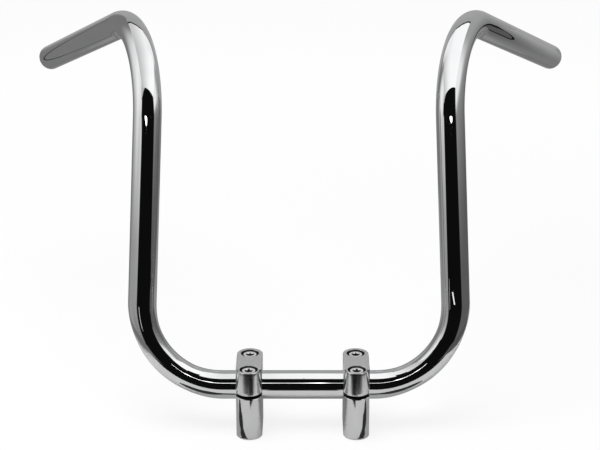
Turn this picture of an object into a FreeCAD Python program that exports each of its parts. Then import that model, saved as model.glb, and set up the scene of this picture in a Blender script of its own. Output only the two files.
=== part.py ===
import FreeCAD, Part
import math
import os

from FreeCAD import Vector

# Motorcycle handlebar: one bent tube held by two split-clamp risers.
# Millimetres and degrees. +Z is up along the risers, +Y is towards the rider, and
# the rider's left is +X. The origin is midway between the risers, on their bases.

# The bar's tube
TUBE_OD = 25.4
TUBE_WALL = 3.0
TUBE_END_BREAK = 0.6        # broken edge round each open end, outside and inside

# The bar's line, along the axis of the tube
BASE_STRAIGHT = 134.4       # level run between the two lower bends
LOWER_BEND_R = 72.0
UPRIGHT_STRAIGHT = 163.5
UPRIGHT_LEAN = 1.9          # each upright leans inwards, within the bar's plane
BAR_PLANE_LEAN = 15.8       # the uprights' plane leans back from the risers
UPPER_BEND_R = 85.0
GRIP_STRAIGHT = 248.0
GRIP_OUT = 23.4             # each grip end points outwards from straight back
GRIP_DROP = 5.0             # and drops below the normal of the uprights' plane
BAR_SLIDE = 3.4             # the bar's middle sits this far to the rider's right of the clamps'

# A bent tube is flattened towards the inside of its bend
LOWER_BEND_FLAT = 0.075     # share of the tube's diameter that is lost
UPPER_BEND_FLAT = 0.03
FLAT_RUN_IN = 0.3           # share of the bend over which the flattening builds up
BEND_STATIONS = 12          # spaces between the sections of one bend
BEND_SURFACE_DEGREE = 3     # highest degree of the surface through them

# Socket-head clamp bolts
BOLT_D = 8.0
BOLT_LENGTH = 35.0          # below the head
BOLT_TIP_BREAK = 1.0
HEAD_D = 13.0
HEAD_HEIGHT = 8.0
HEAD_EDGE = 0.7
HEX_ACROSS_FLATS = 6.0
HEX_DEPTH = 4.0

# Clamps
RISER_SPACING = 94.8        # between the two risers' centres
BAR_HEIGHT = 40.6           # bar's axis above the risers' bases
SPLIT_GAP = 3.2             # between riser and cap when the bolts are tight
CAP_OVER_BAR = 9.9          # metal of the cap above the bar
HEAD_SUNK = 1.0             # bolt head below the cap's top
NOSE_RIM = 1.8              # land between counterbore and nose edge
NOSE_TAPER = 1.5            # the cap's front nose narrows by this to its top
NOSE_EDGE = 0.8             # broken edge on top of the nose
EDGE_BREAK = 0.4            # all other broken edges of riser and cap
BORE_WEB = 0.75             # metal between the bar's bore and a bolt hole
HOLE_SPARE = 2.5            # bolt hole below the bolt's tip
MOUNT_HOLE_D = 10.8         # hole for the mounting stud's thread
MOUNT_HOLE_DEPTH = 20.0

# Clearances
BAR_CLEARANCE = 0.05        # round the bar in its clamps
BOLT_CLEARANCE = 0.25       # round a bolt in its cap
THREAD_CLEARANCE = 0.05     # round a bolt in its riser
HEAD_CLEARANCE = 1.3        # round a bolt head in its counterbore

# Values that follow from the ones above
TUBE_R = TUBE_OD / 2
BORE_R = TUBE_R + BAR_CLEARANCE
BOLT_R = BOLT_D / 2
BOLT_Y = BORE_R + BORE_WEB + BOLT_R + BOLT_CLEARANCE
COUNTERBORE_R = HEAD_D / 2 + HEAD_CLEARANCE
NOSE_TOP_R = COUNTERBORE_R + EDGE_BREAK + NOSE_RIM
CLAMP_R = NOSE_TOP_R + NOSE_TAPER
CAP_TOP = BAR_HEIGHT + TUBE_R + CAP_OVER_BAR
CAP_BASE = BAR_HEIGHT + SPLIT_GAP / 2
RISER_TOP = BAR_HEIGHT - SPLIT_GAP / 2
SEAT_Z = CAP_TOP - HEAD_SUNK - HEAD_HEIGHT
BOLT_TIP_Z = SEAT_Z - BOLT_LENGTH

ACROSS = Vector(1, 0, 0)
BACK = Vector(0, 1, 0)
UP = Vector(0, 0, 1)
SIDES = {"left": 1, "right": -1}


def flattened_wire(centre, inward, normal, radius, flat):
    """A tube's section in a bend, flattened along the inward direction."""
    section = Part.Ellipse(Vector(), radius, radius * (1 - flat))
    section.Center = centre
    section.Axis = normal.cross(inward)
    section.XAxis = normal
    return Part.Wire(section.toShape())


def flat_share(along):
    """How much of a bend's flattening is reached, from 0 at its ends to 1."""
    step = min(1.0, min(along, 1 - along) / FLAT_RUN_IN)
    return step * step * (3 - 2 * step)


def straight(start, heading, length, radius):
    return Part.makeCylinder(radius, length, start, heading)


def bend(start, heading, inward, bend_r, turn, radius, flat):
    """A bent length of tube, lofted through sections along its arc."""
    centre = start + inward * bend_r
    normal = heading.cross(inward)
    sections = []
    for station in range(BEND_STATIONS + 1):
        along = station / BEND_STATIONS
        angle = turn * along
        to_centre = inward * math.cos(angle) - heading * math.sin(angle)
        place = centre - to_centre * bend_r
        sections.append(flattened_wire(place, to_centre, normal, radius, flat * flat_share(along)))
    return Part.makeLoft(sections, True, False, False, BEND_SURFACE_DEGREE)


def bar_half_line():
    """The runs and bends of one half of the bar, from its middle outwards."""
    lean = math.radians(UPRIGHT_LEAN)
    tilt = math.radians(BAR_PLANE_LEAN)
    out = math.radians(GRIP_OUT)
    drop = math.radians(GRIP_DROP)
    plane_up = BACK * math.sin(tilt) + UP * math.cos(tilt)
    plane_back = BACK * math.cos(tilt) - UP * math.sin(tilt)
    upright = plane_up * math.cos(lean) - ACROSS * math.sin(lean)
    grip = (ACROSS * math.sin(out) + plane_back * math.cos(out)) * math.cos(drop) - plane_up * math.sin(drop)
    lower_turn = math.pi / 2 + lean
    upper_turn = upright.getAngle(grip)
    to_grip = (grip - upright * math.cos(upper_turn)).normalize()

    lower_start = UP * BAR_HEIGHT + ACROSS * (BASE_STRAIGHT / 2)
    lower_centre = lower_start + plane_up * LOWER_BEND_R
    upright_in = plane_up * math.sin(lean) + ACROSS * math.cos(lean)
    upright_start = lower_centre + upright_in * LOWER_BEND_R
    upper_start = upright_start + upright * UPRIGHT_STRAIGHT
    upper_centre = upper_start + to_grip * UPPER_BEND_R
    grip_in = upright * math.sin(upper_turn) - to_grip * math.cos(upper_turn)
    grip_start = upper_centre + grip_in * UPPER_BEND_R
    bends = [
        (lower_start, ACROSS, plane_up, LOWER_BEND_R, lower_turn, LOWER_BEND_FLAT),
        (upper_start, upright, to_grip, UPPER_BEND_R, upper_turn, UPPER_BEND_FLAT),
    ]
    runs = [(upright_start, upright, UPRIGHT_STRAIGHT), (grip_start, grip, GRIP_STRAIGHT)]
    return bends, runs


def bar_core(radius):
    """The bar as a solid rod of one radius, flattened in its bends."""
    bends, runs = bar_half_line()
    half = []
    for start, heading, inward, bend_r, turn, flat in bends:
        half.append(bend(start, heading, inward, bend_r, turn, radius, flat * TUBE_R / radius))
    for start, heading, length in runs:
        half.append(straight(start, heading, length, radius))
    base = straight(UP * BAR_HEIGHT - ACROSS * (BASE_STRAIGHT / 2), ACROSS, BASE_STRAIGHT, radius)
    other_half = [piece.mirror(Vector(), ACROSS) for piece in half]
    return base.multiFuse(half + other_half)


def end_break(end, heading):
    """The rings that are taken off one open end of the tube."""
    bore_r = TUBE_R - TUBE_WALL
    back = heading * -TUBE_END_BREAK
    outer_cone = Part.makeCone(TUBE_R, TUBE_R - TUBE_END_BREAK, TUBE_END_BREAK, end + back, heading)
    outer = straight(end + back, heading, TUBE_END_BREAK, 2 * TUBE_R).cut(outer_cone)
    inner = Part.makeCone(bore_r, bore_r + TUBE_END_BREAK, TUBE_END_BREAK, end + back, heading)
    return [outer, inner]


def handlebar_tube():
    tube = bar_core(TUBE_R).cut(bar_core(TUBE_R - TUBE_WALL))
    start, heading, length = bar_half_line()[1][-1]
    rings = end_break(start + heading * length, heading)
    rings += [ring.mirror(Vector(), ACROSS) for ring in rings]
    return tube.cut(rings).translated(ACROSS * -BAR_SLIDE)


def turned(profile, y):
    """A profile of (radius, height) points turned about a bolt's axis."""
    points = [Vector(0, y, profile[0][1])]
    points += [Vector(radius, y, z) for radius, z in profile]
    points.append(Vector(0, y, profile[-1][1]))
    face = Part.Face(Part.makePolygon(points + points[:1]))
    return face.revolve(Vector(0, y, 0), UP, 360)


def slab(profile, y_from, y_to):
    """The same profile, mirrored and drawn out from one bolt's axis to the other."""
    points = [Vector(radius, y_from, z) for radius, z in profile]
    points += [Vector(-radius, y_from, z) for radius, z in reversed(profile)]
    face = Part.Face(Part.makePolygon(points + points[:1]))
    return face.extrude(BACK * (y_to - y_from))


def broken_profile(low_r, low_z, high_r, high_z, low_edge, high_edge):
    """A side wall with a broken edge at its bottom and top."""
    return [
        (low_r - low_edge, low_z),
        (low_r, low_z + low_edge),
        (high_r, high_z - high_edge),
        (high_r - high_edge, high_z),
    ]


def bar_bore():
    reach = 2 * CLAMP_R
    return straight(UP * BAR_HEIGHT - ACROSS * (reach / 2), ACROSS, reach, BORE_R)


def blind_hole(mouth, into, radius, depth):
    """A hole and the broken edge round its mouth."""
    edge = Part.makeCone(radius + EDGE_BREAK, radius, EDGE_BREAK, mouth, into)
    return [straight(mouth, into, depth, radius), edge]


def riser():
    side = broken_profile(CLAMP_R, 0, CLAMP_R, RISER_TOP, EDGE_BREAK, EDGE_BREAK)
    body = slab(side, -BOLT_Y, BOLT_Y).multiFuse([turned(side, -BOLT_Y), turned(side, BOLT_Y)])
    cuts = [bar_bore()]
    hole_depth = RISER_TOP - BOLT_TIP_Z + HOLE_SPARE
    for y in (-BOLT_Y, BOLT_Y):
        cuts += blind_hole(Vector(0, y, RISER_TOP), -UP, BOLT_R + THREAD_CLEARANCE, hole_depth)
    cuts += blind_hole(Vector(), UP, MOUNT_HOLE_D / 2, MOUNT_HOLE_DEPTH)
    return body.cut(cuts)


def clamp_cap():
    side = broken_profile(CLAMP_R, CAP_BASE, CLAMP_R, CAP_TOP, EDGE_BREAK, EDGE_BREAK)
    nose = broken_profile(CLAMP_R, CAP_BASE, NOSE_TOP_R, CAP_TOP, EDGE_BREAK, NOSE_EDGE)
    body = slab(side, -BOLT_Y, BOLT_Y).multiFuse([turned(nose, -BOLT_Y), turned(side, BOLT_Y)])
    cuts = [bar_bore()]
    for y in (-BOLT_Y, BOLT_Y):
        cuts.append(straight(Vector(0, y, CAP_BASE), UP, CAP_TOP - CAP_BASE, BOLT_R + BOLT_CLEARANCE))
        cuts += blind_hole(Vector(0, y, CAP_TOP), -UP, COUNTERBORE_R, CAP_TOP - SEAT_Z)
    return body.cut(cuts)


def hex_socket(top_z):
    corner_r = HEX_ACROSS_FLATS / math.sqrt(3)
    floor_z = top_z - HEX_DEPTH
    corners = []
    for corner in range(6):
        angle = math.radians(60 * corner)
        corners.append(Vector(corner_r * math.cos(angle), corner_r * math.sin(angle), floor_z))
    return Part.Face(Part.makePolygon(corners + corners[:1])).extrude(UP * HEX_DEPTH)


def clamp_bolt():
    head_top = SEAT_Z + HEAD_HEIGHT
    profile = [
        (BOLT_R - BOLT_TIP_BREAK, BOLT_TIP_Z),
        (BOLT_R, BOLT_TIP_Z + BOLT_TIP_BREAK),
        (BOLT_R, SEAT_Z),
        (HEAD_D / 2, SEAT_Z),
        (HEAD_D / 2, head_top - HEAD_EDGE),
        (HEAD_D / 2 - HEAD_EDGE, head_top),
    ]
    return turned(profile, 0).cut(hex_socket(head_top))


def write(node, shape):
    shape.removeSplitter().exportStep("parts/" + node + ".step")


def main():
    os.makedirs("parts", exist_ok=True)
    write("handlebar_tube", handlebar_tube())
    riser_shape = riser()
    cap_shape = clamp_cap()
    bolt_shape = clamp_bolt()
    for side, sign in SIDES.items():
        place = ACROSS * (sign * RISER_SPACING / 2)
        write(side + "_riser", riser_shape.translated(place))
        write(side + "_clamp_cap", cap_shape.translated(place))
        for end, y in (("front", -BOLT_Y), ("rear", BOLT_Y)):
            write(side + "_" + end + "_bolt", bolt_shape.translated(place + BACK * y))


main()
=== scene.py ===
import math

import bmesh
import bpy
from mathutils import Matrix, Vector


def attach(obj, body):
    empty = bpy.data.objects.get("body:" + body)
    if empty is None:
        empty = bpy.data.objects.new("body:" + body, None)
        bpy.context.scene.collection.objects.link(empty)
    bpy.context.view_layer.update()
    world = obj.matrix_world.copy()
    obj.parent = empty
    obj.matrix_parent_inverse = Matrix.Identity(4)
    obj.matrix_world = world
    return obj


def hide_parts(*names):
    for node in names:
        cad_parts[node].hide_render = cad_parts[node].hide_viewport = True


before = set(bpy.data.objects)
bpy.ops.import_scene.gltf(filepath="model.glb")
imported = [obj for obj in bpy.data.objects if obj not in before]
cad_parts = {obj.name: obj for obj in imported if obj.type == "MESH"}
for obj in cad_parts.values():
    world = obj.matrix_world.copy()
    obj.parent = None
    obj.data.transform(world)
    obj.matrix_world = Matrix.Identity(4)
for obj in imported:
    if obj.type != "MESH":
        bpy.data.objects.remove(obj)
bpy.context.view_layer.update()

MM = 0.001

# The bar's tube and the line that it follows, as the solids have them
TUBE_R = 12.7 * MM
TUBE_WALL = 3.0 * MM
END_BREAK = 0.6 * MM
END_EDGE = math.radians(50)  # only the ends' edges are sharper than this, and they are broken
BAR_HEIGHT = 40.6 * MM
BASE_STRAIGHT = 134.4 * MM
LOWER_BEND_R = 72.0 * MM
UPRIGHT_STRAIGHT = 163.5 * MM
UPPER_BEND_R = 85.0 * MM
GRIP_STRAIGHT = 248.0 * MM
UPRIGHT_LEAN = math.radians(1.9)
BAR_PLANE_LEAN = math.radians(15.8)
GRIP_OUT = math.radians(23.4)
GRIP_DROP = math.radians(5.0)
BAR_SLIDE = 3.4 * MM         # the bar's middle is off the clamps' middle by this
LOWER_BEND_FLAT = 0.075
UPPER_BEND_FLAT = 0.03
FLAT_RUN_IN = 0.3
TUBE_SIDES = 96
BEND_POINTS = 72
RUN_MARK = 3.0 * MM          # an extra ring this far outside each bend keeps the runs true

# The clamps and their bolts
RISER_SPACING = 94.8 * MM
COUNTERBORE_R = 7.8 * MM
STUD_HOLE_R = 5.4 * MM
BAR_BORE_R = 12.75 * MM
SPLIT_GAP = 3.2 * MM
BOLT_Y = 17.75 * MM
BOLT_R = 4.0 * MM
BOLT_TIP_Z = 19.2 * MM
SEAT_Z = 54.2 * MM
HEAD_R = 6.5 * MM
HEAD_TOP_Z = 62.2 * MM
HEAD_EDGE = 0.7 * MM
TIP_BREAK = 1.0 * MM
HEX_HALF = 3.0 * MM
HEX_DEPTH = 4.0 * MM
HEX_LEAD = 3.75 * MM         # radius of the lead-in round the socket
HEX_POINT = 0.6 * MM         # the drill's mark in the socket's floor
POINT_RING = 0.75            # a ring on that mark, as a share of the socket
KNURL_TEETH = 44
KNURL_DEPTH = 0.22 * MM
KNURL_EDGE = 0.5 * MM
THREAD_LENGTH = 28.0 * MM
THREAD_PITCH = 1.25 * MM
THREAD_ROOT_R = 3.3 * MM
THREAD_TURN_POINTS = 36

SHARP = math.radians(25)     # edges sharper than this are not smoothed over
FLAT = math.radians(0.2)     # faces that meet at less than this are one face
SIDES = {"left": 1, "right": -1}     # the rider's


# Node trees

def add(tree, kind, inputs=None, **settings):
    """A node with its settings and inputs; an input is a value or another node's output."""
    made = tree.nodes.new(kind)
    for name, value in settings.items():
        setattr(made, name, value)
    for key, value in (inputs or {}).items():
        if isinstance(value, bpy.types.NodeSocket):
            tree.links.new(value, made.inputs[key])
        else:
            made.inputs[key].default_value = value
    return made


def out(made):
    """A node's first output in use."""
    return next(socket for socket in made.outputs if socket.enabled)


def maths(tree, operation, first, second=0.0):
    return out(add(tree, "ShaderNodeMath", {0: first, 1: second}, operation=operation))


def vectors(tree, operation, first, second=(0.0, 0.0, 0.0)):
    return add(tree, "ShaderNodeVectorMath", {0: first, 1: second}, operation=operation)


def between(tree, value, start, end, low=0.0, high=1.0, blend="SMOOTHSTEP"):
    """Goes from low to high while a value goes from start to end."""
    inputs = {0: value, 1: start, 2: end, 3: low, 4: high}
    return out(add(tree, "ShaderNodeMapRange", inputs, interpolation_type=blend))


def shape_tree(name, inputs):
    """An empty geometry tree and its named inputs' outputs."""
    tree = bpy.data.node_groups.new(name, "GeometryNodeTree")
    tree.interface.new_socket("Geometry", in_out="INPUT", socket_type="NodeSocketGeometry")
    for label, kind in inputs:
        tree.interface.new_socket(label, in_out="INPUT", socket_type="NodeSocket" + kind)
    tree.interface.new_socket("Geometry", in_out="OUTPUT", socket_type="NodeSocketGeometry")
    given = tree.nodes.new("NodeGroupInput")
    return tree, {socket.name: socket for socket in given.outputs if socket.name}


def finish_tree(tree, geometry, finish):
    """Ends a tree with real faces in their finish."""
    realized = add(tree, "GeometryNodeRealizeInstances", {"Geometry": geometry})
    finished = add(tree, "GeometryNodeSetMaterial", {"Geometry": out(realized), "Material": finish})
    ending = tree.nodes.new("NodeGroupOutput")
    tree.links.new(out(finished), ending.inputs[0])


def run_tree(obj, tree, values):
    """Gives an object the tree as a modifier, with its inputs set."""
    modifier = obj.modifiers.new(tree.name, "NODES")
    modifier.node_group = tree
    for item in tree.interface.items_tree:
        if item.in_out == "INPUT" and item.name in values:
            modifier[item.identifier] = values[item.name]


def plain_mesh(obj):
    """Puts the result of the modifiers in the object's own mesh."""
    graph = bpy.context.evaluated_depsgraph_get()
    mesh = bpy.data.meshes.new_from_object(obj.evaluated_get(graph))
    obj.modifiers.clear()
    obj.data = mesh
    mesh.name = obj.name
    return obj


def new_object(name, mesh):
    obj = bpy.data.objects.new(name, mesh)
    bpy.context.scene.collection.objects.link(obj)
    return obj


# Materials

NOISE_LOW, NOISE_HIGH = 0.3, 0.7             # most of a noise lies between these
COLOUR_A, COLOUR_B, COLOUR_OUT = 6, 7, 2     # a mix node's sockets for colours
GRAIN_DEPTH = 0.02 * MM
# The second gloss is for the painted shade in recesses.
BARE_GLOSS, SHADE_GLOSS = 0.5, 0.15
QUARTER_TURN = 0.25


def material(name):
    made = bpy.data.materials.new(name)
    made.use_nodes = True
    tree = made.node_tree
    return made, tree, tree.nodes["Principled BSDF"]


def object_place(tree, scale):
    """Object coordinates in metres, stretched along each axis."""
    place = add(tree, "ShaderNodeTexCoord")
    return out(add(tree, "ShaderNodeMapping", {"Vector": place.outputs["Object"], "Scale": scale}))


def evenly(per_metre):
    return (per_metre, per_metre, per_metre)


def noise(tree, per_metre):
    """Cloudy noise with so many blotches to the metre along each axis."""
    inputs = {"Vector": object_place(tree, per_metre), "Scale": 1.0, "Detail": 2.0}
    return add(tree, "ShaderNodeTexNoise", inputs)


def spread(tree, value, low, high):
    """Noise around its middle, spread from low to high."""
    return between(tree, value.outputs["Fac"], NOISE_LOW, NOISE_HIGH, low, high, "LINEAR")


def tint(tree, value, dark, light):
    """A colour that goes from dark to light with a noise."""
    inputs = {0: spread(tree, value, 0.0, 1.0), COLOUR_A: (*dark, 1.0), COLOUR_B: (*light, 1.0)}
    return add(tree, "ShaderNodeMix", inputs, data_type="RGBA").outputs[COLOUR_OUT]


def metal(name, dark, light, rough, cloud, grain, bump, turned=0.0, bare=True):
    """A metal whose tone drifts with a slow cloud, and whose gloss and surface follow a fine grain.

    Turning marks that run round it spread what it mirrors up and down. A surface that is not bare
    is no metal: it is painted shade, near-black and dull."""
    made, tree, shader = material(name)
    drift = noise(tree, cloud)
    fine = noise(tree, grain)
    tree.links.new(tint(tree, drift, dark, light), shader.inputs["Base Color"])
    tree.links.new(spread(tree, fine, *rough), shader.inputs["Roughness"])
    shader.inputs["Metallic"].default_value = 1.0 if bare else 0.0
    shader.inputs["Specular IOR Level"].default_value = BARE_GLOSS if bare else SHADE_GLOSS
    height = {"Strength": bump, "Distance": GRAIN_DEPTH, "Height": fine.outputs["Fac"]}
    raised = add(tree, "ShaderNodeBump", height)
    tree.links.new(out(raised), shader.inputs["Normal"])
    if turned:
        shader.inputs["Anisotropic"].default_value = turned
        shader.inputs["Anisotropic Rotation"].default_value = QUARTER_TURN
        marks = add(tree, "ShaderNodeTangent", direction_type="RADIAL", axis="Z")
        tree.links.new(out(marks), shader.inputs["Tangent"])
    return made


CHROME = metal(
    "chrome_plate", dark=(0.86, 0.865, 0.875), light=(0.92, 0.922, 0.925), rough=(0.012, 0.03),
    cloud=evenly(40), grain=evenly(2500), bump=0.005)
BORE_STEEL = metal(
    "bare_bore_steel", dark=(0.20, 0.195, 0.19), light=(0.32, 0.315, 0.31), rough=(0.38, 0.55),
    cloud=evenly(120), grain=evenly(1800), bump=0.3)
POLISHED_ALLOY = metal(
    "polished_alloy", dark=(0.78, 0.78, 0.785), light=(0.86, 0.86, 0.865), rough=(0.06, 0.12),
    cloud=evenly(60), grain=(2500, 2500, 60), bump=0.12)
TURNED_ALLOY = metal(
    "turned_alloy", dark=(0.84, 0.84, 0.845), light=(0.9, 0.9, 0.905), rough=(0.15, 0.22),
    cloud=(60, 60, 900), grain=(100, 100, 2500), bump=0.08, turned=0.65)
BLASTED_ALLOY = metal(
    "satin_blasted_alloy", dark=(0.78, 0.78, 0.785), light=(0.92, 0.92, 0.92), rough=(0.58, 0.68),
    cloud=evenly(1100), grain=evenly(2500), bump=0.3)
BORED_ALLOY = metal(
    "as_bored_alloy", dark=(0.3, 0.3, 0.305), light=(0.42, 0.42, 0.425), rough=(0.4, 0.55),
    cloud=evenly(150), grain=(400, 400, 5000), bump=0.4)
# Painted shade: a near-black, dull surface that is no metal, for the counterbores, the faces at the split,
# and the bolts' sockets and shanks.
PAINTED_SHADE = metal(
    "painted_shade", dark=(0.012, 0.012, 0.013), light=(0.03, 0.03, 0.032), rough=(0.5, 0.65),
    cloud=evenly(200), grain=evenly(3000), bump=0.2, bare=False)
BRIGHT_STEEL = metal(
    "bright_plated_steel", dark=(0.80, 0.80, 0.81), light=(0.88, 0.88, 0.885), rough=(0.04, 0.09),
    cloud=evenly(200), grain=evenly(4000), bump=0.08)


# The bar

def bar_directions():
    """The upright's and the grip's headings on the rider's left, and the two turns."""
    across = Vector((1, 0, 0))
    plane_up = Vector((0, math.sin(BAR_PLANE_LEAN), math.cos(BAR_PLANE_LEAN)))
    plane_back = Vector((0, math.cos(BAR_PLANE_LEAN), -math.sin(BAR_PLANE_LEAN)))
    upright = plane_up * math.cos(UPRIGHT_LEAN) - across * math.sin(UPRIGHT_LEAN)
    level = across * math.sin(GRIP_OUT) + plane_back * math.cos(GRIP_OUT)
    grip = level * math.cos(GRIP_DROP) - plane_up * math.sin(GRIP_DROP)
    return upright, grip, math.pi / 2 + UPRIGHT_LEAN, upright.angle(grip)


def run_points(start, heading, before, length, after):
    """A mark just inside each end of a straight run, and the next corner of the line."""
    marks = [before + RUN_MARK, before + length - RUN_MARK]
    corner = start + heading * (before + length + after)
    return [start + heading * mark for mark in marks], corner


def bar_line():
    """The corners of the bar's line from tip to tip, each with the radius of its bend."""
    upright, grip, lower_turn, upper_turn = bar_directions()
    lower_cut = LOWER_BEND_R * math.tan(lower_turn / 2)
    upper_cut = UPPER_BEND_R * math.tan(upper_turn / 2)
    half_base = BASE_STRAIGHT / 2
    lower = Vector((half_base + lower_cut, 0, BAR_HEIGHT))
    up_marks, upper = run_points(lower, upright, lower_cut, UPRIGHT_STRAIGHT, upper_cut)
    grip_marks, tip = run_points(upper, grip, upper_cut, GRIP_STRAIGHT, 0)
    half = [(Vector((half_base - RUN_MARK, 0, BAR_HEIGHT)), 0), (lower, LOWER_BEND_R)]
    half += [(mark, 0) for mark in up_marks] + [(upper, UPPER_BEND_R)]
    half += [(grip_marks[0], 0), (tip, 0)]
    other = [(Vector((-point.x, point.y, point.z)), radius) for point, radius in reversed(half)]
    slide = Vector((-BAR_SLIDE, 0, 0))
    return [(point + slide, radius) for point, radius in other + half]


def in_bend(tree, distance, start, length, run_in):
    """How far the flattening of one bend has built up at a distance from the bar's middle."""
    end = maths(tree, "ADD", start, length)
    rise = maths(tree, "MULTIPLY", length, run_in)
    grown = between(tree, distance, start, maths(tree, "ADD", start, rise))
    fading = between(tree, distance, maths(tree, "SUBTRACT", end, rise), end, 1.0, 0.0)
    return maths(tree, "MULTIPLY", grown, fading)


def bar_tree():
    """Rounds the corners of a line, sweeps a tube along it, and flattens the tube in its bends."""
    floats = ["Tube radius", "Lower bend start", "Lower bend length", "Lower bend flattening",
              "Upper bend start", "Upper bend length", "Upper bend flattening", "Flattening run-in"]
    counts = ["Points in a bend", "Sides of the tube"]
    inputs = [(label, "Float") for label in floats] + [(label, "Int") for label in counts]
    tree, given = shape_tree("swept_bar_tube", inputs + [("Finish", "Material")])
    line = add(tree, "GeometryNodeMeshToCurve", {"Mesh": given["Geometry"]})
    radius = add(tree, "GeometryNodeInputNamedAttribute", {"Name": "bend_radius"}, data_type="FLOAT")
    corners = {"Curve": out(line), "Count": given["Points in a bend"], "Radius": out(radius)}
    rounded = add(tree, "GeometryNodeFilletCurve", corners, mode="POLY")

    # How much the tube is flattened at each point of the line
    along = add(tree, "GeometryNodeSplineParameter").outputs["Length"]
    half_length = maths(tree, "MULTIPLY", add(tree, "GeometryNodeSplineLength").outputs["Length"], 0.5)
    distance = maths(tree, "ABSOLUTE", maths(tree, "SUBTRACT", along, half_length))
    shares = []
    for bend in ("Lower", "Upper"):
        share = in_bend(tree, distance, given[bend + " bend start"], given[bend + " bend length"],
                        given["Flattening run-in"])
        shares.append(maths(tree, "MULTIPLY", share, given[bend + " bend flattening"]))

    # The way to the inside of the bend, from the line's headings before and after the point
    tangent = out(add(tree, "GeometryNodeInputTangent"))
    index = out(add(tree, "GeometryNodeInputIndex"))
    beside = []
    for step in (1.0, -1.0):
        place = {"Value": tangent, "Index": maths(tree, "ADD", index, step)}
        beside.append(out(add(tree, "GeometryNodeFieldAtIndex", place, data_type="FLOAT_VECTOR")))
    inward = vectors(tree, "NORMALIZE", vectors(tree, "SUBTRACT", *beside).outputs[0]).outputs[0]

    # Kept on the line, and read back on the tube
    kept = add(tree, "GeometryNodeCaptureAttribute", {"Geometry": out(rounded)})
    for kind, label in (("VECTOR", "Axis point"), ("VECTOR", "Inward"), ("FLOAT", "Flattening")):
        kept.capture_items.new(kind, label)
    tree.links.new(out(add(tree, "GeometryNodeInputPosition")), kept.inputs["Axis point"])
    tree.links.new(inward, kept.inputs["Inward"])
    tree.links.new(maths(tree, "ADD", *shares), kept.inputs["Flattening"])

    circle = {"Resolution": given["Sides of the tube"], "Radius": given["Tube radius"]}
    ring = add(tree, "GeometryNodeCurvePrimitiveCircle", circle)
    sweep = {"Curve": kept.outputs["Geometry"], "Profile Curve": out(ring)}
    tube = add(tree, "GeometryNodeCurveToMesh", sweep)
    place = out(add(tree, "GeometryNodeInputPosition"))
    from_axis = vectors(tree, "SUBTRACT", place, kept.outputs["Axis point"]).outputs[0]
    reach = vectors(tree, "DOT_PRODUCT", from_axis, kept.outputs["Inward"]).outputs["Value"]
    lost = maths(tree, "MULTIPLY", maths(tree, "MULTIPLY", reach, kept.outputs["Flattening"]), -1.0)
    scaling = {0: kept.outputs["Inward"], "Scale": lost}
    shift = add(tree, "ShaderNodeVectorMath", scaling, operation="SCALE")
    moved = {"Geometry": out(tube), "Offset": shift.outputs[0]}
    flattened = add(tree, "GeometryNodeSetPosition", moved)
    smooth = add(tree, "GeometryNodeSetShadeSmooth", {"Geometry": out(flattened)})
    finish_tree(tree, out(smooth), given["Finish"])
    return tree


def make_bar():
    line = bar_line()
    mesh = bpy.data.meshes.new("bar_line")
    steps = [(i, i + 1) for i in range(len(line) - 1)]
    mesh.from_pydata([point for point, radius in line], steps, [])
    radii = mesh.attributes.new("bend_radius", "FLOAT", "POINT")
    radii.data.foreach_set("value", [radius for point, radius in line])
    bar = new_object("chromed_bar", mesh)
    mesh.materials.append(CHROME)
    mesh.materials.append(BORE_STEEL)
    lower_turn, upper_turn = bar_directions()[2:]
    lower_start = BASE_STRAIGHT / 2
    lower_length = LOWER_BEND_R * lower_turn
    run_tree(bar, bar_tree(), {
        "Tube radius": TUBE_R,
        "Lower bend start": lower_start,
        "Lower bend length": lower_length,
        "Lower bend flattening": LOWER_BEND_FLAT,
        "Upper bend start": lower_start + lower_length + UPRIGHT_STRAIGHT,
        "Upper bend length": UPPER_BEND_R * upper_turn,
        "Upper bend flattening": UPPER_BEND_FLAT,
        "Flattening run-in": FLAT_RUN_IN,
        "Points in a bend": BEND_POINTS,
        "Sides of the tube": TUBE_SIDES,
        "Finish": CHROME,
    })
    wall = bar.modifiers.new("wall", "SOLIDIFY")
    wall.thickness = TUBE_WALL
    wall.offset = -1.0
    wall.material_offset = 1
    rim = bar.modifiers.new("end_break", "BEVEL")
    rim.width = END_BREAK
    rim.segments = 1
    rim.limit_method = "ANGLE"
    rim.angle_limit = END_EDGE
    plain_mesh(bar)
    bar.data.set_sharp_from_angle(angle=SHARP)
    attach(bar, "root")
    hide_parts("handlebar_tube")


# The clamps

MERGE_DISTANCE = 0.002 * MM
FLAT_WEIGHT = 90             # how far the large flat faces lead the shading
HOLE_SPARE = 0.02 * MM       # a hole's faces may lie outside its radius by this
STEEP_FACE, LEVEL_FACE = 0.5, 0.95   # how far up or down the normals of such faces point
# The last finish is painted shade, for the counterbores and the faces at the split.
SIDE, TOP, BORED, SHADED = range(4)   # the order of a clamp's finishes


def smooth_copy(node, name, finishes, choose):
    """A node's solid with its loose faces joined, smooth up to its edges, a finish on each face."""
    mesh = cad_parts[node].data.copy()
    mesh.name = name
    mesh.materials.clear()
    for finish in finishes:
        mesh.materials.append(finish)
    shell = bmesh.new()
    shell.from_mesh(mesh)
    bmesh.ops.remove_doubles(shell, verts=shell.verts, dist=MERGE_DISTANCE)
    for face in shell.faces:
        face.smooth = True
        face.material_index = choose(face)
    bmesh.ops.dissolve_limit(shell, angle_limit=FLAT, verts=shell.verts, edges=shell.edges,
                             delimit={"MATERIAL"})
    shell.to_mesh(mesh)
    shell.free()
    mesh.set_sharp_from_angle(angle=SHARP)
    piece = new_object(name, mesh)
    level = piece.modifiers.new("flat_faces_stay_flat", "WEIGHTED_NORMAL")
    level.keep_sharp = True
    level.weight = FLAT_WEIGHT
    return plain_mesh(piece)


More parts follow.
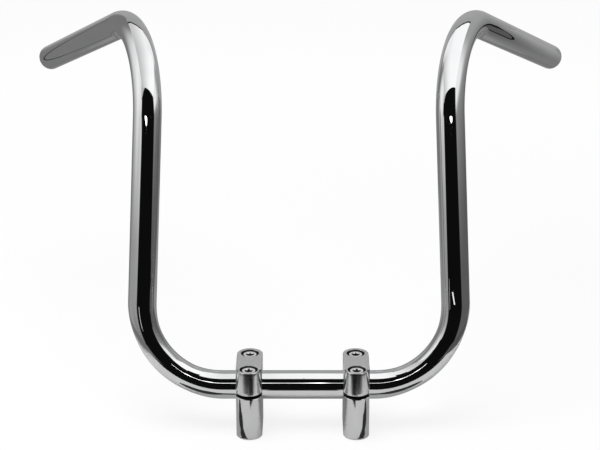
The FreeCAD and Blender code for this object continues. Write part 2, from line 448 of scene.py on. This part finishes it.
def clamp_finish(centre_x):
    """Picks a clamp face's finish: polished sides, satin top, dull bores, and painted shade in counterbores
    and at the split.
    """

    def within(points, y, radius):
        return all(math.hypot(p.x - centre_x, p.y - y) < radius + HOLE_SPARE for p in points)

    def choose(face):
        points = [vert.co for vert in face.verts]
        # Painted shade in the counterbores round the bolt heads
        if within(points, -BOLT_Y, COUNTERBORE_R) or within(points, BOLT_Y, COUNTERBORE_R):
            return SHADED
        if within(points, 0.0, STUD_HOLE_R) and abs(face.normal.z) < STEEP_FACE:
            return BORED
        if all(math.hypot(p.y, p.z - BAR_HEIGHT) < BAR_BORE_R + HOLE_SPARE for p in points):
            return BORED
        # Painted shade on the level faces at the split between cap and riser
        level = abs(face.normal.z) > LEVEL_FACE
        if level and all(abs(p.z - BAR_HEIGHT) < SPLIT_GAP for p in points):
            return SHADED
        return TOP if level and face.normal.z > 0 else SIDE

    return choose


def make_clamps():
    for side, sign in SIDES.items():
        for part in ("riser", "clamp_cap"):
            node = side + "_" + part
            sides = POLISHED_ALLOY if part == "riser" else TURNED_ALLOY
            # The last finish is painted shade in the counterbores and at the split.
            finishes = [sides, BLASTED_ALLOY, BORED_ALLOY, PAINTED_SHADE]
            choose = clamp_finish(sign * RISER_SPACING / 2)
            piece = smooth_copy(node, node + "_block", finishes, choose)
            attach(piece, "root")
            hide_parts(node)


# The bolts

def hex_reach(angle):
    """How far the hex socket's wall is from the bolt's axis."""
    step = math.pi / 3
    return HEX_HALF / math.cos((angle + step / 2) % step - step / 2)


def bolt_rings(sides):
    """The rings of a socket-head bolt from its tip over its head into its socket."""
    angles = [2 * math.pi * k / sides for k in range(sides)]
    leads = [min(hex_reach(angle), HEX_LEAD) for angle in angles]

    def even(radius, z):
        return [(radius, z)] * sides

    def knurled(z):
        return [(HEAD_R - KNURL_DEPTH * (k % 2), z) for k in range(sides)]

    def socket(z, share=1.0):
        return [(hex_reach(angle) * share, z) for angle in angles]

    thread_end = BOLT_TIP_Z + THREAD_LENGTH
    socket_floor = HEAD_TOP_Z - HEX_DEPTH
    rings = [
        even(THREAD_ROOT_R - TIP_BREAK / 2, BOLT_TIP_Z),
        even(THREAD_ROOT_R, BOLT_TIP_Z + TIP_BREAK / 2),
        even(THREAD_ROOT_R, thread_end),
        even(BOLT_R, thread_end + BOLT_R - THREAD_ROOT_R),
        even(BOLT_R, SEAT_Z),
        even(HEAD_R - KNURL_DEPTH, SEAT_Z),
        even(HEAD_R - KNURL_DEPTH, SEAT_Z + KNURL_EDGE),
        knurled(SEAT_Z + KNURL_EDGE + KNURL_DEPTH),
        knurled(HEAD_TOP_Z - HEAD_EDGE - KNURL_DEPTH),
        even(HEAD_R - KNURL_DEPTH, HEAD_TOP_Z - HEAD_EDGE),
        even(HEAD_R - HEAD_EDGE, HEAD_TOP_Z),
        even(HEX_LEAD, HEAD_TOP_Z),
        [(lead, HEAD_TOP_Z - HEX_LEAD + lead) for lead in leads],
        socket(socket_floor),
        socket(socket_floor - HEX_POINT * (1 - POINT_RING), POINT_RING),
    ]
    return angles, rings, BOLT_TIP_Z, socket_floor - HEX_POINT


def ringed_mesh(name, centre, angles, rings, low_z, high_z):
    """A closed mesh through rings of (radius, height), with a pole at each end."""
    shell = bmesh.new()
    rows = []
    for ring in rings:
        row = []
        for angle, (radius, z) in zip(angles, ring):
            x = centre[0] + radius * math.cos(angle)
            y = centre[1] + radius * math.sin(angle)
            row.append(shell.verts.new((x, y, z)))
        rows.append(row)
    low = shell.verts.new((*centre, low_z))
    high = shell.verts.new((*centre, high_z))
    count = len(angles)
    for k in range(count):
        after = (k + 1) % count
        shell.faces.new((low, rows[0][after], rows[0][k]))
        shell.faces.new((high, rows[-1][k], rows[-1][after]))
        for under, over in zip(rows, rows[1:]):
            shell.faces.new((under[k], under[after], over[after], over[k]))
    for face in shell.faces:
        face.smooth = True
    mesh = bpy.data.meshes.new(name)
    shell.to_mesh(mesh)
    shell.free()
    return mesh


def thread_tree():
    """Winds a pointed ridge round a bolt's shank, and joins it to the bolt."""
    inputs = [(label, "Float") for label in ("Root radius", "Crest radius", "Pitch", "Turns")]
    inputs += [("Points in a turn", "Int"), ("Start", "Vector"), ("Finish", "Material")]
    tree, given = shape_tree("bolt_thread", inputs)
    helix = add(tree, "GeometryNodeCurveSpiral", {
        "Resolution": given["Points in a turn"],
        "Rotations": given["Turns"],
        "Start Radius": given["Root radius"],
        "End Radius": given["Root radius"],
        "Height": maths(tree, "MULTIPLY", given["Pitch"], given["Turns"]),
    })
    level = add(tree, "GeometryNodeSetCurveNormal", {"Curve": out(helix)}, mode="Z_UP")

    # The ridge's section: a ring of three points, one drawn out to the crest
    depth = maths(tree, "SUBTRACT", given["Crest radius"], given["Root radius"])
    ridge = add(tree, "GeometryNodeCurvePrimitiveCircle", {"Resolution": 3, "Radius": 1.0})
    half_pitch = maths(tree, "MULTIPLY", given["Pitch"], 0.5)
    parts = add(tree, "ShaderNodeSeparateXYZ", {0: out(add(tree, "GeometryNodeInputPosition"))})
    tip = maths(tree, "GREATER_THAN", parts.outputs[0], 0.5)
    not_tip = maths(tree, "SUBTRACT", 1.0, tip)
    up = maths(tree, "SIGN", maths(tree, "MULTIPLY", parts.outputs[1], not_tip))
    sizes = {0: maths(tree, "MULTIPLY", tip, depth), 1: maths(tree, "MULTIPLY", up, half_pitch)}
    corner = add(tree, "ShaderNodeCombineXYZ", sizes)
    pointed = add(tree, "GeometryNodeSetPosition", {"Geometry": out(ridge), "Position": out(corner)})

    sweep = {"Curve": out(level), "Profile Curve": out(pointed), "Fill Caps": True}
    swept = add(tree, "GeometryNodeCurveToMesh", sweep)
    placed = add(tree, "GeometryNodeTransform", {"Geometry": out(swept), "Translation": given["Start"]})
    joined = add(tree, "GeometryNodeJoinGeometry")
    for source in (given["Geometry"], out(placed)):
        tree.links.new(source, joined.inputs[0])
    finish_tree(tree, out(joined), given["Finish"])
    return tree


def paint_recess_shade(mesh, centre):
    """Paints shade on a bolt's socket and on its shank below the seat: a near-black, dull finish."""
    mesh.materials.clear()
    for finish in (BRIGHT_STEEL, PAINTED_SHADE):
        mesh.materials.append(finish)
    socket_top = HEAD_TOP_Z - HEX_LEAD + HEX_HALF
    for face in mesh.polygons:
        x, y, z = face.center
        in_socket = math.hypot(x - centre[0], y - centre[1]) < HEX_LEAD and z < socket_top
        if in_socket or z < SEAT_Z - KNURL_EDGE / 2:
            face.material_index = 1


def make_bolts():
    tree = thread_tree()
    for side, sign in SIDES.items():
        for end, y in (("front", -BOLT_Y), ("rear", BOLT_Y)):
            node = side + "_" + end + "_bolt"
            name = node + "_screw"
            centre = (sign * RISER_SPACING / 2, y)
            bolt = new_object(name, ringed_mesh(name, centre, *bolt_rings(2 * KNURL_TEETH)))
            run_tree(bolt, tree, {
                "Root radius": THREAD_ROOT_R,
                "Crest radius": BOLT_R,
                "Pitch": THREAD_PITCH,
                "Turns": (THREAD_LENGTH - TIP_BREAK) / THREAD_PITCH,
                "Points in a turn": THREAD_TURN_POINTS,
                "Start": (*centre, BOLT_TIP_Z + TIP_BREAK),
                "Finish": BRIGHT_STEEL,
            })
            plain_mesh(bolt)
            bolt.data.set_sharp_from_angle(angle=SHARP)
            paint_recess_shade(bolt.data, centre)
            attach(bolt, "root")
            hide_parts(node)


# The studio, in metres. Left and right are the picture's here.

TENT_HALF = 0.37
TENT_FRONT = -0.31
TENT_BACK = 0.62
TENT_TOP = 0.66
ROOF_FRONT_Y, ROOF_FRONT_Z = -0.2, 0.574
ROOM_FRONT = -1.7
ROOM_HALF = 4.0
ROOM_FOOT, ROOM_TOP = -0.5, 5.0
LAMP_Z = 0.445
SPOT_Y = -0.28
SPOT_FOOT, SPOT_TOP = 0.335, 0.41
SPOT_ENDS = (-0.27, 0.23)
SLIT_Y = -0.1
OVAL_STEPS = 24
NEAR = 0.005                 # from a wall to a panel in front of it
LIFT = 0.4 * MM              # from the floor to a panel that lies on it
BLACK = 0.004                # how much a black panel glows
LAMP_GLOW = 3.0
FLAP_GLOW = 0.5
X, Y, Z = range(3)


def ramp(tree, axis, start, end):
    """A smooth rise from 0 to 1 along one axis of the panel."""
    place = add(tree, "ShaderNodeTexCoord").outputs["Object"]
    parts = add(tree, "ShaderNodeSeparateXYZ", {0: place})
    return between(tree, parts.outputs[axis], start, end)


def panel_face(name, level, ramps, clear):
    """A panel's glow. It fades in by the ramps, from what lies behind it or from another level."""
    made, tree, shader = material(name)
    tree.nodes.remove(shader)
    share = 1.0
    for axis, start, end in ramps:
        share = maths(tree, "MULTIPLY", share, ramp(tree, axis, start, end))
    if clear is None:
        behind = add(tree, "ShaderNodeBsdfTransparent")
    else:
        behind = add(tree, "ShaderNodeEmission", {"Strength": clear})
    light = add(tree, "ShaderNodeEmission", {"Strength": level})
    mixed = add(tree, "ShaderNodeMixShader", {0: share, 1: out(behind), 2: out(light)})
    tree.links.new(out(mixed), tree.nodes["Material Output"].inputs["Surface"])
    return made


def card(name, corners, level, *ramps, clear=None):
    """A panel that only reflections see, so that it hides nothing from any side."""
    mesh = bpy.data.meshes.new(name)
    mesh.from_pydata(corners, [], [tuple(range(len(corners)))])
    mesh.materials.append(panel_face(name + "_glow", level, ramps, clear))
    panel = new_object(name, mesh)
    panel.visible_camera = False
    panel.visible_diffuse = False
    panel.visible_transmission = False
    panel.visible_volume_scatter = False
    panel.visible_shadow = False


def at_x(x, outline):
    """The corners of an outline of (y, z) points."""
    return [(x, y, z) for y, z in outline]


def at_y(y, outline):
    """The corners of an outline of (x, z) points."""
    return [(x, y, z) for x, z in outline]


def at_z(z, outline):
    """The corners of an outline of (x, y) points."""
    return [(x, y, z) for x, y in outline]


def oblong(a0, a1, b0, b1):
    return [(a0, b0), (a1, b0), (a1, b1), (a0, b1)]


def wall_x(x, y0, y1, z0, z1):
    return at_x(x, oblong(y0, y1, z0, z1))


def wall_y(y, x0, x1, z0, z1):
    return at_y(y, oblong(x0, x1, z0, z1))


def level_z(z, x0, x1, y0, y1):
    return at_z(z, oblong(x0, x1, y0, y1))


def under_roof(outline, drop=0.0):
    """The corners of an outline below the tent's roof, which falls towards its open front."""
    fall = (TENT_TOP - ROOF_FRONT_Z) / (TENT_BACK - ROOF_FRONT_Y)
    return [(x, y, TENT_TOP - (TENT_BACK - y) * fall - drop) for x, y in outline]


def strip(line, step):
    """A strip beside a line, as wide as the step."""
    return line + [(a + step[0], b + step[1]) for a, b in reversed(line)]


def oval(x, z, half_width, half_height, lean=0.0):
    """An oval outline that may lean."""
    outline = []
    for step in range(OVAL_STEPS):
        angle = 2 * math.pi * step / OVAL_STEPS
        across = half_width * math.cos(angle)
        outline.append((x + across - lean * math.sin(angle), z + half_height * math.sin(angle)))
    return outline


def hang_left_wall():
    """Dim at the back with a seam, lit in front with a bright stripe, and black at its front edge.

    Two flaps close the black's upper corner."""
    wall, front, back, top = -TENT_HALF, TENT_FRONT, TENT_BACK, TENT_TOP
    card("tent_left", wall_x(wall, front, back, 0, top), 0.19, (Y, 0.05, 0.28), clear=0.32)
    card("tent_left_lit", wall_x(wall + NEAR, front, back, 0, top), 0.85, (Z, 0.12, 0.45), (Y, 0.32, 0.1))
    card("tent_left_stripe", wall_x(wall + 1.5 * NEAR, -0.07, 0.09, 0.16, top), 0.93,
         (Z, 0.16, 0.42), (Y, -0.07, 0.0), (Y, 0.09, 0.04))
    card("tent_left_low", wall_x(wall + NEAR, front, 0.1, 0, 0.12), 0.13, (Z, 0.12, 0.02), (Y, 0.05, -0.15))
    card("tent_left_far", wall_x(wall + NEAR, 0.4, back, 0, top), 0.34, (Y, 0.49, 0.6), (Z, 0.2, 0.27))
    seam = [(0.457, 0.05), (0.467, 0.05), (0.467, 0.14), (0.46, 0.19), (0.46, 0.21), (0.467, 0.26),
            (0.467, 0.34), (0.457, 0.34)]
    card("tent_left_seam", at_x(wall + 2 * NEAR, seam), 0.05)
    card("tent_left_dark", wall_x(wall + 2 * NEAR, front, 0, 0, top), BLACK, (Y, -0.21, -0.26))
    card("tent_left_dark_high", wall_x(wall + 3 * NEAR, front, -0.1, 0.3, top), BLACK,
         (Y, -0.15, -0.18), (Z, 0.325, 0.36))
    side_flap = [(-0.125, 0.41), (-0.137, 0.424), (-0.175, 0.469), (ROOF_FRONT_Y, 0.495),
                 (ROOF_FRONT_Y, ROOF_FRONT_Z), (-0.125, ROOF_FRONT_Z)]
    card("tent_left_side_flap", at_x(wall + 3.5 * NEAR, side_flap), FLAP_GLOW)
    front_flap = [(wall, 0.485), (-0.323, 0.513), (-0.278, 0.54), (-0.24, 0.557),
                  (-0.195, ROOF_FRONT_Z), (wall, ROOF_FRONT_Z)]
    card("tent_left_front_flap", at_y(ROOF_FRONT_Y, front_flap), FLAP_GLOW)


def hang_right_wall():
    """Lit high up in front, with one dark fold at the back, and black at its front edge."""
    wall, front, back, top = TENT_HALF, TENT_FRONT, TENT_BACK, TENT_TOP
    card("tent_right", wall_x(wall, front, back, 0, top), 0.36, (Z, 0.14, 0.48), clear=0.105)
    card("tent_right_lit", wall_x(wall - NEAR, front, back, 0, top), 0.9, (Z, 0.34, 0.44), (Y, 0.24, 0.0))
    card("tent_right_low", wall_x(wall - NEAR / 2, 0.3, back, 0, 0.3), 0.2, (Y, 0.33, 0.5))
    card("tent_right_far", wall_x(wall - NEAR, 0.3, back, 0, top), 0.36, (Y, 0.38, 0.5), (Z, 0.16, 0.26))
    # The fold's black outline and dim face are painted shade in the crease.
    card("tent_right_fold", wall_x(wall - 2 * NEAR, 0.345, 0.389, 0.186, 0.286), 0.006)
    card("tent_right_fold_face", wall_x(wall - 3 * NEAR, 0.345, 0.379, 0.206, 0.267), 0.095)
    card("tent_right_dark", wall_x(wall - 2 * NEAR, front, 0, 0, top), BLACK, (Y, -0.165, -0.225))


def hang_back_and_roof():
    """The back wall, and a roof with a dark seam where its lit cloth ends."""
    half, back = TENT_HALF, TENT_BACK
    card("tent_back", wall_y(back, -half, half, 0, TENT_TOP), 0.38, (Z, 0.04, 0.25), clear=0.18)
    card("tent_roof", under_roof(oblong(-half, half, ROOF_FRONT_Y, back)), 1.06, (X, -half, 0.1), clear=0.58)
    side = [(0.0, 0.43), (0.05, 0.395), (0.1, 0.358), (0.2, 0.35), (0.3, 0.378), (half, 0.385)]
    edge = [(-x, y) for x, y in reversed(side)] + side[1:]
    card("tent_roof_back", under_roof(edge + [(half, back), (-half, back)], NEAR), 0.36)
    card("tent_roof_seam", under_roof(strip(edge, (0, 0.035)), 2 * NEAR), 0.02)


def hang_curtain():
    """A panel across the tent's middle, which each upper bend sees from its own side."""
    back, top = TENT_BACK, TENT_TOP
    fold = [(0.13, 0.35), (0.16, 0.363), (0.2, 0.383), (0.25, 0.425), (0.29, 0.468), (0.33, 0.53),
            (0.39, 0.612), (0.43, top)]
    below = [(back, top), (back, 0.45), (0.36, 0.45), (0.22, 0.375), (0.13, 0.335)]
    card("curtain_lit", at_x(0, fold + [(0.13, top)]), 0.95, (Y, 0.13, 0.2))
    card("curtain_dim", at_x(0, fold + below), 0.36, (Y, 0.13, 0.2))
    card("curtain_seam", at_x(0, strip(fold, (0.012, -0.006))), 0.03, (Y, 0.13, 0.25))


def darken_room():
    """The dark room before the tent, and the floor's dark and shaded parts along the middle."""
    half, back = TENT_HALF, TENT_BACK
    card("dark_room", wall_y(ROOM_FRONT, -ROOM_HALF, ROOM_HALF, ROOM_FOOT, ROOM_TOP), BLACK)
    card("dark_floor", level_z(LIFT, -ROOM_HALF, ROOM_HALF, ROOM_FRONT, 0), BLACK, (Y, -0.12, -0.15))
    card("dark_floor_middle", level_z(1.5 * LIFT, -0.04, 0.04, -0.14, -0.09), BLACK,
         (Y, -0.09, -0.1), (X, -0.04, -0.03), (X, 0.04, 0.03))
    card("floor_shade_middle", level_z(2.5 * LIFT, -0.036, 0.036, -0.03, 0.1), 0.22,
         (Y, -0.03, 0.015), (Y, 0.1, 0.05))
    card("dim_floor_back", level_z(2 * LIFT, -half, half, 0, back), 0.28, (Y, 0.06, 0.22))


def hang_front_lamps():
    """A ragged lamp before the tent, and a spot for each upright on a black board."""
    marks = [(-0.115, -0.605, -0.572), (-0.08, -0.6, -0.56), (-0.065, -0.615, -0.525),
             (-0.05, -0.597, -0.552), (-0.025, -0.585, -0.555), (0.0, -0.597, -0.547),
             (0.02, -0.618, -0.5), (0.034, -0.584, -0.556), (0.1, -0.6, -0.575)]
    far_edge = [(x, far) for x, far, near in marks]
    near_edge = [(x, near) for x, far, near in reversed(marks)]
    card("front_lamp", at_z(LAMP_Z, far_edge + near_edge), LAMP_GLOW)
    left_spot = oval(-0.168, 0.369, 0.044, 0.0125, lean=0.0365)
    card("left_spot_lamp", at_y(SPOT_Y, left_spot), LAMP_GLOW)
    right_spot = oval(0.131, 0.368, 0.059, 0.0082)
    card("right_spot_lamp", at_y(SPOT_Y, right_spot), LAMP_GLOW)
    board = SPOT_Y - NEAR
    card("spot_board", wall_y(board, *SPOT_ENDS, SPOT_FOOT, SPOT_TOP), BLACK)
    card("spot_shelf", level_z(SPOT_FOOT, *SPOT_ENDS, board, -0.22), BLACK)
    card("spot_divider", wall_x(0, board, -0.06, 0.27, SPOT_TOP), BLACK)


def darken_floor_sides():
    half, front = TENT_HALF, TENT_FRONT
    card("left_floor_dark", level_z(2.2 * LIFT, -half, -0.2, front, 0.2), 0.16,
         (X, -0.22, -0.285), (Y, 0.2, 0.12))
    card("right_floor_dark", level_z(2.2 * LIFT, 0.2, half, front, 0.2), 0.085,
         (X, 0.242, 0.257), (Y, 0.2, 0.12))


def hang_slits():
    """A slit of light low on the right, black below and beside it, and a gap in the left front."""
    slit = [(0.0635, 0.1395), (0.0969, 0.1308), (0.1177, 0.1317), (0.0886, 0.1415)]
    card("right_slit_lamp", at_y(SLIT_Y, slit), 1.0)
    shelf = [(0.055, SLIT_Y, 0.1285), (0.125, SLIT_Y, 0.1285), (0.125, -0.06, 0.122), (0.055, -0.06, 0.122)]
    card("slit_shelf", shelf, BLACK)
    card("slit_divider", wall_x(0.06, SLIT_Y, -0.055, 0.12, 0.15), BLACK)
    card("left_front_gap", wall_y(TENT_FRONT, -0.285, -0.262, 0.105, 0.16), 0.7)


def hang_pair(sign):
    """What is the same on both sides: a lamp at the back, and the floor beside a riser."""
    card("back_lamp", wall_y(TENT_BACK - NEAR, sign * 0.052, sign * 0.086, 0.29, 0.38), 0.6)
    card("dim_floor_side", level_z(2 * LIFT, sign * TENT_HALF, sign * 0.2, TENT_FRONT, TENT_BACK), 0.14,
         (X, sign * 0.24, sign * 0.34))
    card("floor_shade", level_z(2.5 * LIFT, sign * 0.045, sign * 0.12, -0.036, 0.06), 0.36,
         (X, sign * 0.045, sign * 0.062), (X, sign * 0.12, sign * 0.095))
    # A dark patch on the floor beside each riser, which only reflections see.
    mark = [(0.0475, -0.029), (0.052, -0.033), (0.058, -0.038), (0.07, -0.041), (0.082, -0.047),
            (0.094, -0.05), (0.106, -0.045), (0.124, -0.043), (0.136, -0.03), (0.134, -0.018),
            (0.12, -0.014), (0.107, -0.016), (0.095, -0.018), (0.084, -0.022), (0.072, -0.029),
            (0.064, -0.027), (0.056, -0.028), (0.052, -0.025)]
    card("floor_dark_patch", at_z(3 * LIFT, [(sign * x, y) for x, y in mark]), 0.03)


def make_tent():
    """A small white tent with a dark open front, which the metal mirrors."""
    hang_left_wall()
    hang_right_wall()
    hang_back_and_roof()
    hang_curtain()
    darken_room()
    hang_front_lamps()
    darken_floor_sides()
    hang_slits()
    for sign in (-1, 1):
        hang_pair(sign)


FLOOR_HALF = 9.0
FLOOR_DARK, FLOOR_LIGHT = (0.42, 0.42, 0.42), (0.45, 0.45, 0.45)
FLOOR_SHADOW = (0.12, 0.12, 0.12, 1.0)       # takes the shadow that the camera sees
# Painted light: the floor's glow grows away from the middle, making up for the lamp's falloff.
FLOOR_FADE = (0.3, 1.4)                      # the floor grows whiter between these distances
FLOOR_WHITE = (0.835, 0.885)
WORLD_LIGHT, WORLD_SEEN = 0.55, 1.0


def make_floor():
    """A pale floor that shows white to the camera and keeps the shadow."""
    mesh = bpy.data.meshes.new("floor")
    corners = level_z(0, -FLOOR_HALF, FLOOR_HALF, -FLOOR_HALF, FLOOR_HALF)
    mesh.from_pydata(corners, [], [(0, 1, 2, 3)])
    made, tree, shader = material("pale_floor")
    tree.nodes.remove(shader)
    tone = tint(tree, noise(tree, evenly(3)), FLOOR_DARK, FLOOR_LIGHT)
    paper = add(tree, "ShaderNodeBsdfDiffuse", {"Color": tone})
    place = add(tree, "ShaderNodeTexCoord").outputs["Object"]
    away = vectors(tree, "LENGTH", place).outputs["Value"]
    # Painted light: more glow further out, to make up for the lamp's falloff.
    fade = between(tree, away, *FLOOR_FADE, *FLOOR_WHITE)
    white = add(tree, "ShaderNodeEmission", {"Strength": fade})
    seen = add(tree, "ShaderNodeLightPath").outputs["Is Camera Ray"]
    dulled = add(tree, "ShaderNodeBsdfDiffuse", {"Color": FLOOR_SHADOW})
    lit = add(tree, "ShaderNodeAddShader", {0: out(dulled), 1: out(white)})
    mixed = add(tree, "ShaderNodeMixShader", {0: seen, 1: out(paper), 2: out(lit)})
    tree.links.new(out(mixed), tree.nodes["Material Output"].inputs["Surface"])
    mesh.materials.append(made)
    floor = new_object("floor", mesh)


def make_world():
    """A white world that lights the object at a plain level."""
    world = bpy.data.worlds.new("studio")
    bpy.context.scene.world = world
    world.use_nodes = True
    tree = world.node_tree
    ground = tree.nodes["Background"]
    ground.inputs["Color"].default_value = (1.0, 1.0, 1.0, 1.0)
    path = add(tree, "ShaderNodeLightPath")
    seen = maths(tree, "MAXIMUM", path.outputs["Is Camera Ray"], path.outputs["Is Glossy Ray"])
    seen = maths(tree, "MAXIMUM", seen, path.outputs["Is Transmission Ray"])
    level = between(tree, seen, 0.0, 1.0, WORLD_LIGHT, WORLD_SEEN, "LINEAR")
    tree.links.new(level, ground.inputs["Strength"])


def make_lamp(name, place, aim, size, power):
    light = bpy.data.lights.new(name, "AREA")
    light.shape = "DISK"
    light.size = size
    light.energy = power
    lamp = bpy.data.objects.new(name, light)
    lamp.location = place
    lamp.rotation_euler = (Vector(aim) - Vector(place)).to_track_quat("-Z", "Y").to_euler()
    lamp.visible_glossy = False
    bpy.context.scene.collection.objects.link(lamp)


# The camera, found from the outline of the bar in a 600 by 450 picture

FOCAL_PX = 1682.61
PICTURE_WIDTH = 600
SENSOR = 36.0
CLIP_NEAR, CLIP_FAR = 0.05, 50.0
CAMERA_FAR = 1500 * MM
CAMERA_PITCH = math.radians(19.409)
CAMERA_ACROSS = 0.94 * MM
CAMERA_UP = 142.14 * MM
CAMERA_TURN = math.radians(0.283)
CAMERA_ROLL = math.radians(0.114)


def make_camera():
    data = bpy.data.cameras.new("camera")
    data.sensor_width = SENSOR
    data.lens = FOCAL_PX * SENSOR / PICTURE_WIDTH
    data.clip_start = CLIP_NEAR
    data.clip_end = CLIP_FAR
    camera = bpy.data.objects.new("camera", data)
    tilt = Matrix.Rotation(math.pi / 2 - CAMERA_PITCH, 3, "X")
    ahead = tilt @ Vector((0, 0, -1))
    roll = Matrix.Rotation(CAMERA_ROLL, 3, ahead)
    across = roll @ Vector((1, 0, 0))
    up = roll @ (tilt @ Vector((0, 1, 0)))
    place = ahead * -CAMERA_FAR + across * CAMERA_ACROSS + up * CAMERA_UP
    turn = Matrix.Rotation(CAMERA_TURN, 3, "Z")
    bar_middle = Vector((-BAR_SLIDE, 0, BAR_HEIGHT))
    camera.matrix_world = Matrix.LocRotScale(turn @ place + bar_middle, turn @ roll @ tilt, None)
    bpy.context.scene.collection.objects.link(camera)
    bpy.context.scene.camera = camera


make_bar()
make_clamps()
make_bolts()
make_tent()
make_floor()
make_world()
make_lamp("soft_top_lamp", place=(-0.3, -0.2, 1.6), aim=(0, 0.1, 0.1), size=1.2, power=26)
make_camera()
bpy.context.scene.view_settings.view_transform = "Standard"
